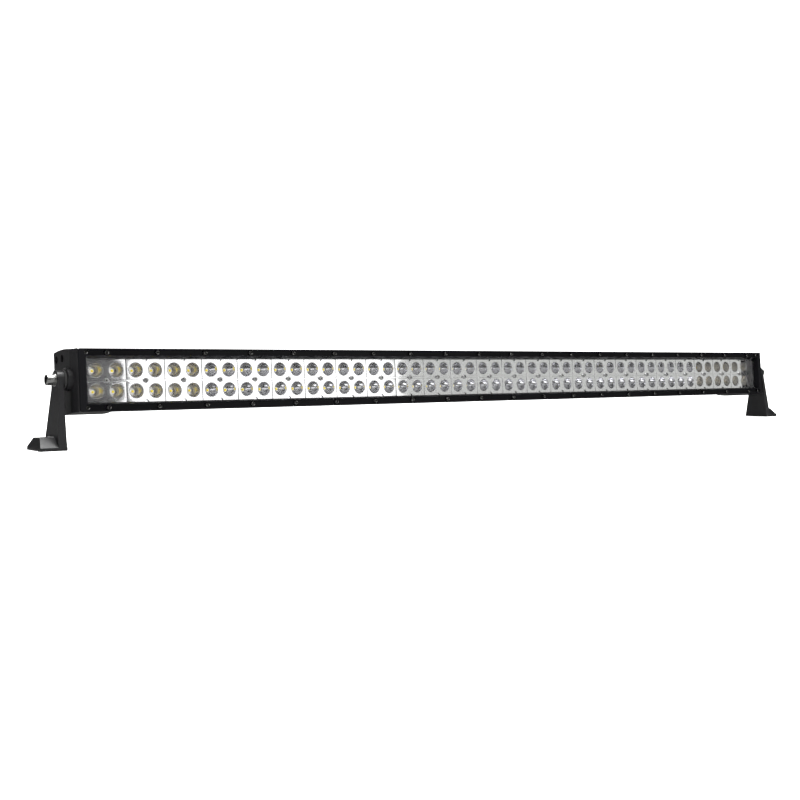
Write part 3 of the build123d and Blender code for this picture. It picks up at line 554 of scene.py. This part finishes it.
dress(on_bar("groove_screws", bezel_screws, "bezel_screws"), "stainless", bright_steel, socket_painted_shade)

# End caps: die-cast aluminium with a swelled end wall, a pivot boss and four deep screw pockets.
# Powder-coated after casting, so the coat is thicker and a little more pebbled.
cap_coat = finish(
    "cap_coat", (0.003, 0.003, 0.0035), (0.009, 0.009, 0.01),
    (0.34, 0.48), 16, 1100, (0.3, 0.00007), specular=0.35,
)
CAP_SCREWS, CAP_SEAT = ((39.0, 28.5), (58.0, 28.0)), 615.0
cap_screw = socket_screw(3.5, 4.0, 2.0, 19.9, 3.0, 2.0, 0.4)
for side, hand in (("left", -1), ("right", 1)):
    dress(eased(side + "_end_cap", 0.0006), "cap_paint", cap_coat)
    four = bmesh.new()
    for y, z in CAP_SCREWS:
        for up in (1, -1):
            add(four, cap_screw, (hand * CAP_SEAT, y, up * z), Matrix.Rotation(hand * math.pi / 2, 4, "Z"))
    dress(on_bar(side + "_pocket_screws", four, side + "_cap_screws"), "stainless", bright_steel, socket_painted_shade)

# End gaskets: black rubber sheets cut to the housing's section, squeezed between the sawn ends of the
# housing and the two end caps.
rubber = finish(
    "rubber", (0.008, 0.008, 0.008), (0.022, 0.022, 0.022), (0.65, 0.8), 40, 900, (0.3, 0.00006), specular=0.3
)
for side in ("left", "right"):
    dress(frame["nodes"][side + "_end_gasket"], "black_rubber", rubber)

# Brackets: cast aluminium arms on hollow saddle feet, powder-coated like the caps. One is bolted at each
# end, outside the cap, and swings about the pivot bolt.
bracket_coat = finish(
    "bracket_coat", (0.0035, 0.0035, 0.004), (0.01, 0.01, 0.011),
    (0.3, 0.42), 13, 1200, (0.28, 0.00007), specular=0.45,
)
for side in ("left", "right"):
    dress(eased(side + "_bracket", 0.0007, body=side + "_bracket", steps=3), "bracket_paint", bracket_coat)

# Pivots: a stainless socket-head bolt with a split spring washer and a flat washer outside the arm,
# and a thick rubber washer between the arm and the cap's boss.
PIVOT_Y, PIVOT_Z = PIVOT_ON_BAR.y, PIVOT_ON_BAR.z
BOSS_FACE, ARM_FACE = 660.1, 671.0
RUBBER, FLAT, SPRING = (12.0, 3.0), (8.0, 1.2), (7.0, 1.6)
BORE = 4.25
bolt = socket_screw(6.5, 8.0, 4.0, 27.9, 6.0, 4.2, 0.6, cuts=4)


def rounded_washer(outer, thick, edge, steps=48):
    """A flat ring along y with eased corners, from y = 0 towards the front."""
    return spun(
        [
            (BORE, -edge), (BORE + edge, 0), (outer - edge, 0), (outer, -edge),
            (outer, -thick + edge), (outer - edge, -thick), (BORE + edge, -thick), (BORE, -thick + edge),
        ],
        steps,
    )


def split_washer(outer, thick):
    """A spring washer: one turn of square wire, with its two ends a little apart."""
    bm = bmesh.new()
    half = (outer - BORE) / 2
    bmesh.ops.create_grid(bm, x_segments=1, y_segments=1, size=1.0)
    bmesh.ops.scale(bm, vec=(half, thick * 0.42, 1), verts=bm.verts)
    bmesh.ops.translate(bm, vec=(BORE + half, -thick / 2 - 0.05, 0), verts=bm.verts)
    start = bm.faces[:]
    bmesh.ops.spin(
        bm, geom=start + bm.edges[:] + bm.verts[:], cent=(0, 0, 0), axis=(0, 1, 0), dvec=(0, 0.1 / 40, 0),
        angle=math.radians(350), steps=40, use_merge=False,
    )
    bmesh.ops.recalc_face_normals(bm, faces=bm.faces)
    return bm


for side, hand in (("left", -1), ("right", 1)):
    outward = Matrix.Rotation(hand * math.pi / 2, 4, "Z")
    stack = (
        ("rubber_washer", rounded_washer(*RUBBER, 0.5), BOSS_FACE, "black_rubber", (rubber,)),
        ("flat_washer", rounded_washer(*FLAT, 0.15), ARM_FACE, "stainless", (bright_steel,)),
        ("spring_washer", split_washer(*SPRING), ARM_FACE + FLAT[1], "stainless", (bright_steel,)),
        ("pivot_bolt", bolt, ARM_FACE + FLAT[1] + SPRING[1], "stainless", (bright_steel, socket_painted_shade)),
    )
    for name, shape, x, slot, finishes in stack:
        one = bmesh.new()
        add(one, shape, (hand * x, PIVOT_Y, PIVOT_Z), outward)
        dress(on_bar(side + "_" + name + "_piece", one, side + "_" + name), slot, *finishes)

# Cable gland and breather: black nylon fittings screwed into the backs of the two caps, the gland with
# a ribbed domed nut over a rubber bush, the breather under a small round splash cap.
nylon = finish(
    "nylon", (0.008, 0.008, 0.009), (0.022, 0.022, 0.024),
    (0.42, 0.58), 30, 1300, (0.3, 0.00005),
)
PORT_X = 633.3
NUT_START, NUT_LENGTH, NUT_RADIUS, NECK, CABLE_BORE = 76.0, 11.0, 8.2, 6.03, 4.1
nut = spun(
    [
        (NECK, NUT_START), (NUT_RADIUS - 0.5, NUT_START),
        (NUT_RADIUS - 0.2, NUT_START + 0.4), (NUT_RADIUS - 0.2, NUT_START + 6.6),
        (NUT_RADIUS - 0.6, NUT_START + 8.3), (NUT_RADIUS - 1.6, NUT_START + 9.9),
        (NUT_RADIUS - 3.0, NUT_START + 10.9), (CABLE_BORE + 0.3, NUT_START + NUT_LENGTH),
        (CABLE_BORE, NUT_START + NUT_LENGTH - 0.3), (CABLE_BORE, NUT_START + 8.0), (NECK, NUT_START + 8.0),
    ],
    48,
)
for v in nut.verts:
    radius = math.hypot(v.co.x, v.co.z)
    if radius > NUT_RADIUS - 0.3 and round(math.atan2(v.co.z, v.co.x) / math.tau * 48) % 3:
        v.co.x *= NUT_RADIUS / radius
        v.co.z *= NUT_RADIUS / radius
gland_nut = bmesh.new()
add(gland_nut, nut, (PORT_X, 0, 0))
dress(on_bar("ribbed_gland_nut", gland_nut, "cable_gland_nut"), "black_nylon", nylon)
dress(eased("cable_gland_body", 0.0003), "black_nylon", nylon)
dress(eased("breather_vent", 0.0003), "black_nylon", nylon)
dress(eased("breather_cap", 0.0003), "black_nylon", nylon)
for node in ("cable_gland_seal", "cable_gland_ring"):
    dress(frame["nodes"][node], "black_rubber", rubber)

# Studio: a pale floor that reflections see as dark, two softboxes in front that the mirrored plates
# show, one above, one above the front edge and one behind for the fins.
floor_mesh = bpy.data.meshes.new("floor")
bm = bmesh.new()
bmesh.ops.create_grid(bm, x_segments=4, y_segments=4, size=30.0)
bm.to_mesh(floor_mesh)
bm.free()
floor = bpy.data.objects.new("floor", floor_mesh)
bpy.context.scene.collection.objects.link(floor)
floor_paint = finish(
    "floor_paint", (0.93, 0.93, 0.93), (0.96, 0.96, 0.96),
    (0.8, 0.9), 2, 60, (0.05, 0.0001), specular=0.05,
)
floor_mesh.materials.append(floor_paint)
tree = floor_paint.node_tree
flag, seen_by = tree.nodes.new("ShaderNodeBsdfDiffuse"), tree.nodes.new("ShaderNodeLightPath")
flag.inputs["Color"].default_value = (0.1, 0.1, 0.1, 1)
either = tree.nodes.new("ShaderNodeMixShader")
tree.links.new(seen_by.outputs["Is Glossy Ray"], either.inputs["Fac"])
tree.links.new(tree.nodes["Principled BSDF"].outputs["BSDF"], either.inputs[1])
tree.links.new(flag.outputs["BSDF"], either.inputs[2])
tree.links.new(either.outputs["Shader"], tree.nodes["Material Output"].inputs["Surface"])


def softbox(name, place, aim, width, height, radiance, colour=(1, 1, 1)):
    """A rectangular lamp whose face has that brightness, turned towards aim."""
    lamp = bpy.data.lights.new(name, "AREA")
    lamp.shape = "RECTANGLE"
    lamp.size, lamp.size_y = width, height
    lamp.energy = radiance * math.pi * width * height
    lamp.color = colour
    stand = bpy.data.objects.new(name, lamp)
    stand.location = place
    stand.rotation_euler = (Vector(aim) - Vector(place)).to_track_quat("-Z", "Y").to_euler()
    bpy.context.scene.collection.objects.link(stand)
    return stand


softbox("front_panel", (1.38, -3.0, 0.62), (1.38, 0, 0.62), 1.36, 1.1, 1.5)
softbox("side_panel", (3.46, -3.0, 0.62), (3.46, 0, 0.62), 2.8, 1.1, 0.48, (0.985, 1.0, 0.97))
softbox("upper_panel", (0.2, -1.8, 2.4), (0.0, 0.0, 0.08), 3.0, 0.7, 3.0)
softbox("back_panel", (0.3, 2.6, 1.5), (0.0, 0.0, 0.08), 2.6, 0.8, 4.0)
softbox("top_panel", (0.1, -0.05, 2.4), (0.1, -0.05, 0), 1.8, 1.0, 14.0)

world = bpy.data.worlds.new("studio")
world.use_nodes = True
sky = world.node_tree.nodes["Background"]
rays = world.node_tree.nodes.new("ShaderNodeLightPath")
level = world.node_tree.nodes.new("ShaderNodeMapRange")
level.inputs["To Min"].default_value = 2.4
level.inputs["To Max"].default_value = 0.05
world.node_tree.links.new(rays.outputs["Is Glossy Ray"], level.inputs["Value"])
world.node_tree.links.new(level.outputs["Result"], sky.inputs["Strength"])
sky.inputs["Color"].default_value = (1.0, 1.0, 1.0, 1)
bpy.context.scene.world = world
bpy.context.scene.view_settings.view_transform = "Standard"

# Camera: in front of the bar's left end and just above the feet, looking along it to the right.
camera_data = bpy.data.cameras.new("camera")
camera_data.lens = 50.99
camera_data.sensor_width = 36.0
camera = bpy.data.objects.new("camera", camera_data)
camera.location = (-1.13962, -1.32261, 0.10440)
camera.rotation_euler = (math.radians(88.009), 0.0, math.radians(-36.724))
bpy.context.scene.collection.objects.link(camera)
bpy.context.scene.camera = camera
